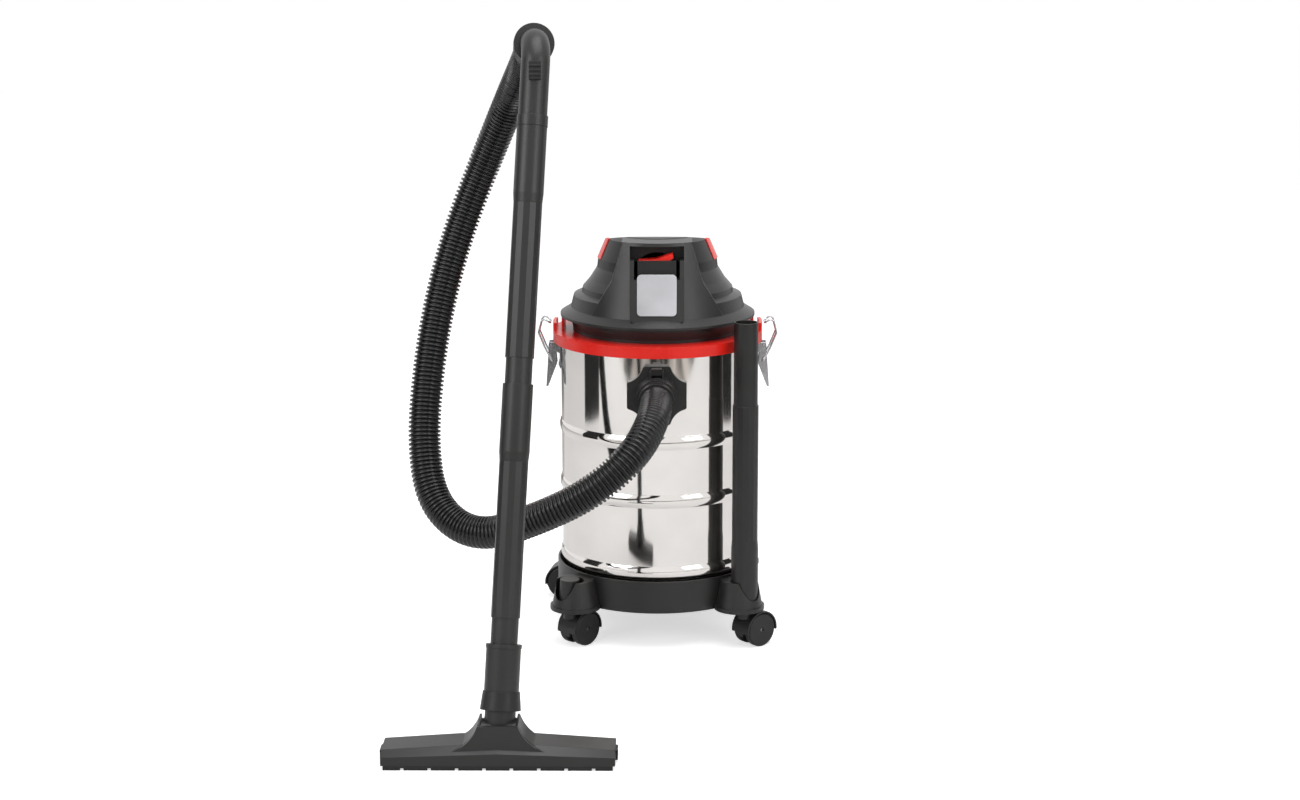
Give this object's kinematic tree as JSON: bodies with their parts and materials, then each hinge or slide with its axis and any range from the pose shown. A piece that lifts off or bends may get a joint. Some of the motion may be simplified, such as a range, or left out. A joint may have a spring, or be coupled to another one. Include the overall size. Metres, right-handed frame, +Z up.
{
  "type": "wet and dry shop vacuum",
  "caption": "Shop vacuum with a polished steel drum on a caster base, a latched motor head, a ribbed hose, a jointed wand and a wide floor nozzle.",
  "frame": {"origin": "on the floor, under the axis of the drum", "axes": "+X to the right of the inlet, +Y to the back of the drum, +Z up"},
  "size_m": [0.5309, 0.798, 0.9262],
  "materials": {
    "drum_steel": "polished stainless sheet",
    "black_plastic": "fine grained",
    "dark_plastic": "fine grained",
    "hose_plastic": "satin extruded",
    "red_plastic": "glossy",
    "badge_metal": "brushed across",
    "rubber": "matt",
    "filter_cloth": "foam",
    "motor_steel": "plain",
    "impeller_alloy": "plain",
    "carbon": "carbon",
    "latch_steel": "zinc plated, bright",
    "pin_steel": "plain",
    "wheel_plastic": "moulded"
  },
  "bodies": {
    "drum": {"base": "black_plastic", "drum": "drum_steel", "inlet_flange": "black_plastic", "inlet_deflector": "dark_plastic", "hose_connector": "black_plastic", "hose": "hose_plastic", "latch_left_bracket": "latch_steel", "latch_right_bracket": "latch_steel", "latch_rivets": "latch_steel", "nozzle_body": "black_plastic", "nozzle_insert": "dark_plastic", "nozzle_clips": "dark_plastic"},
    "wand": {"nozzle_elbow": "black_plastic", "nozzle_collar": "dark_plastic", "nozzle_sleeve": "black_plastic", "lower_tube": "black_plastic", "upper_tube": "black_plastic", "handle": "black_plastic", "hose_cuff": "black_plastic"},
    "air_slider": {"air_slider": "dark_plastic"},
    "inlet_button": {"inlet_button": "dark_plastic"},
    "spare_tube": {"spare_tube": "black_plastic"},
    "head": {"red_ring": "red_plastic", "gasket": "rubber", "head_base": "black_plastic", "head_cover": "black_plastic", "side_grip_left": "red_plastic", "side_grip_right": "red_plastic", "badge_plate": "badge_metal", "switch_body": "black_plastic", "exhaust_port": "black_plastic", "cord_gland": "rubber", "fan_housing": "dark_plastic", "motor_frame": "motor_steel", "motor_stator": "motor_steel", "motor_bearings": "motor_steel", "motor_brushes": "carbon", "filter_cage": "dark_plastic", "cage_screws": "motor_steel", "filter_sleeve": "filter_cloth"},
    "rocker": {"rocker": "red_plastic"},
    "rotor": {"motor_rotor": "motor_steel", "impeller": "impeller_alloy"},
    "float": {"float": "dark_plastic"},
    "latch_left_lever": {"latch_left_lever": "latch_steel"},
    "latch_left_bail": {"latch_left_bail": "latch_steel"},
    "latch_right_lever": {"latch_right_lever": "latch_steel"},
    "latch_right_bail": {"latch_right_bail": "latch_steel"},
    "caster_front_left": {"caster_front_left_housing": "black_plastic", "caster_front_left_pins": "pin_steel"},
    "wheels_front_left": {"caster_front_left_wheels": "wheel_plastic"},
    "caster_front_right": {"caster_front_right_housing": "black_plastic", "caster_front_right_pins": "pin_steel"},
    "wheels_front_right": {"caster_front_right_wheels": "wheel_plastic"},
    "caster_rear_left": {"caster_rear_left_housing": "black_plastic", "caster_rear_left_pins": "pin_steel"},
    "wheels_rear_left": {"caster_rear_left_wheels": "wheel_plastic"},
    "caster_rear_right": {"caster_rear_right_housing": "black_plastic", "caster_rear_right_pins": "pin_steel"},
    "wheels_rear_right": {"caster_rear_right_wheels": "wheel_plastic"}
  },
  "joints": [
    {"name": "wand_tilt", "type": "hinge", "parent": "drum", "child": "wand", "pos_m": [-0.1996, -0.606, 0.036], "axis": [-1, 0, 0], "range_deg": [-15, 20], "deforming": ["hose"]},
    {"name": "air_slide", "type": "slide", "parent": "wand", "child": "air_slider", "axis": [-0.0506, -0.2585, -0.9647], "range_m": [0, 0.01]},
    {"name": "head_lift", "type": "slide", "parent": "drum", "child": "head", "axis": [0, 0, 1], "range_m": [0, 0.18]},
    {"name": "rocker_tip", "type": "hinge", "parent": "head", "child": "rocker", "pos_m": [0, -0.094, 0.569], "axis": [0, 1, 0], "range_deg": [0, 24]},
    {"name": "motor_spin", "type": "hinge", "parent": "head", "child": "rotor", "pos_m": [0, 0, 0.5], "axis": [0, 0, 1], "continuous": true},
    {"name": "float_rise", "type": "slide", "parent": "head", "child": "float", "axis": [0, 0, 1], "range_m": [0, 0.08]},
    {"name": "spare_tube_lift", "type": "slide", "parent": "drum", "child": "spare_tube", "axis": [0, 0, 1], "range_m": [0, 0.15]},
    {"name": "inlet_button_press", "type": "slide", "parent": "drum", "child": "inlet_button", "axis": [0, 0, -1], "range_m": [0, 0.003], "stiffness_N_per_m": 400},
    {"name": "latch_left_lever_swing", "type": "hinge", "parent": "drum", "child": "latch_left_lever", "pos_m": [-0.158, 0, 0.43], "axis": [0, 1, 0], "range_deg": [0, 100]},
    {"name": "latch_left_bail_swing", "type": "hinge", "parent": "latch_left_lever", "child": "latch_left_bail", "pos_m": [-0.157, 0, 0.407], "axis": [0, 1, 0], "range_deg": [-100, 0]},
    {"name": "latch_right_lever_swing", "type": "hinge", "parent": "drum", "child": "latch_right_lever", "pos_m": [0.158, 0, 0.43], "axis": [0, -1, 0], "range_deg": [0, 100]},
    {"name": "latch_right_bail_swing", "type": "hinge", "parent": "latch_right_lever", "child": "latch_right_bail", "pos_m": [0.157, 0, 0.407], "axis": [0, -1, 0], "range_deg": [-100, 0]},
    {"name": "caster_front_left_swivel", "type": "hinge", "parent": "drum", "child": "caster_front_left", "pos_m": [-0.1285, -0.1285, 0.057], "axis": [0, 0, 1], "continuous": true},
    {"name": "caster_front_left_roll", "type": "hinge", "parent": "caster_front_left", "child": "wheels_front_left", "pos_m": [-0.11512, -0.11364, 0.025], "axis": [0.7431, -0.6691, 0], "continuous": true},
    {"name": "caster_front_right_swivel", "type": "hinge", "parent": "drum", "child": "caster_front_right", "pos_m": [0.1285, -0.1285, 0.057], "axis": [0, 0, 1], "continuous": true},
    {"name": "caster_front_right_roll", "type": "hinge", "parent": "caster_front_right", "child": "wheels_front_right", "pos_m": [0.14382, -0.11564, 0.025], "axis": [0.6428, -0.766, 0], "continuous": true},
    {"name": "caster_rear_left_swivel", "type": "hinge", "parent": "drum", "child": "caster_rear_left", "pos_m": [-0.1285, 0.1285, 0.057], "axis": [0, 0, 1], "continuous": true},
    {"name": "caster_rear_left_roll", "type": "hinge", "parent": "caster_rear_left", "child": "wheels_rear_left", "pos_m": [-0.14831, 0.13128, 0.025], "axis": [0.1392, 0.9903, 0], "continuous": true},
    {"name": "caster_rear_right_swivel", "type": "hinge", "parent": "drum", "child": "caster_rear_right", "pos_m": [0.1285, 0.1285, 0.057], "axis": [0, 0, 1], "continuous": true},
    {"name": "caster_rear_right_roll", "type": "hinge", "parent": "caster_rear_right", "child": "wheels_rear_right", "pos_m": [0.12166, 0.10971, 0.025], "axis": [-0.9397, 0.342, 0], "continuous": true}
  ],
  "couplings": [
    {"joint": "latch_left_bail_swing", "follows": "latch_left_lever_swing", "ratio": -1},
    {"joint": "latch_right_bail_swing", "follows": "latch_right_lever_swing", "ratio": -1}
  ]
}
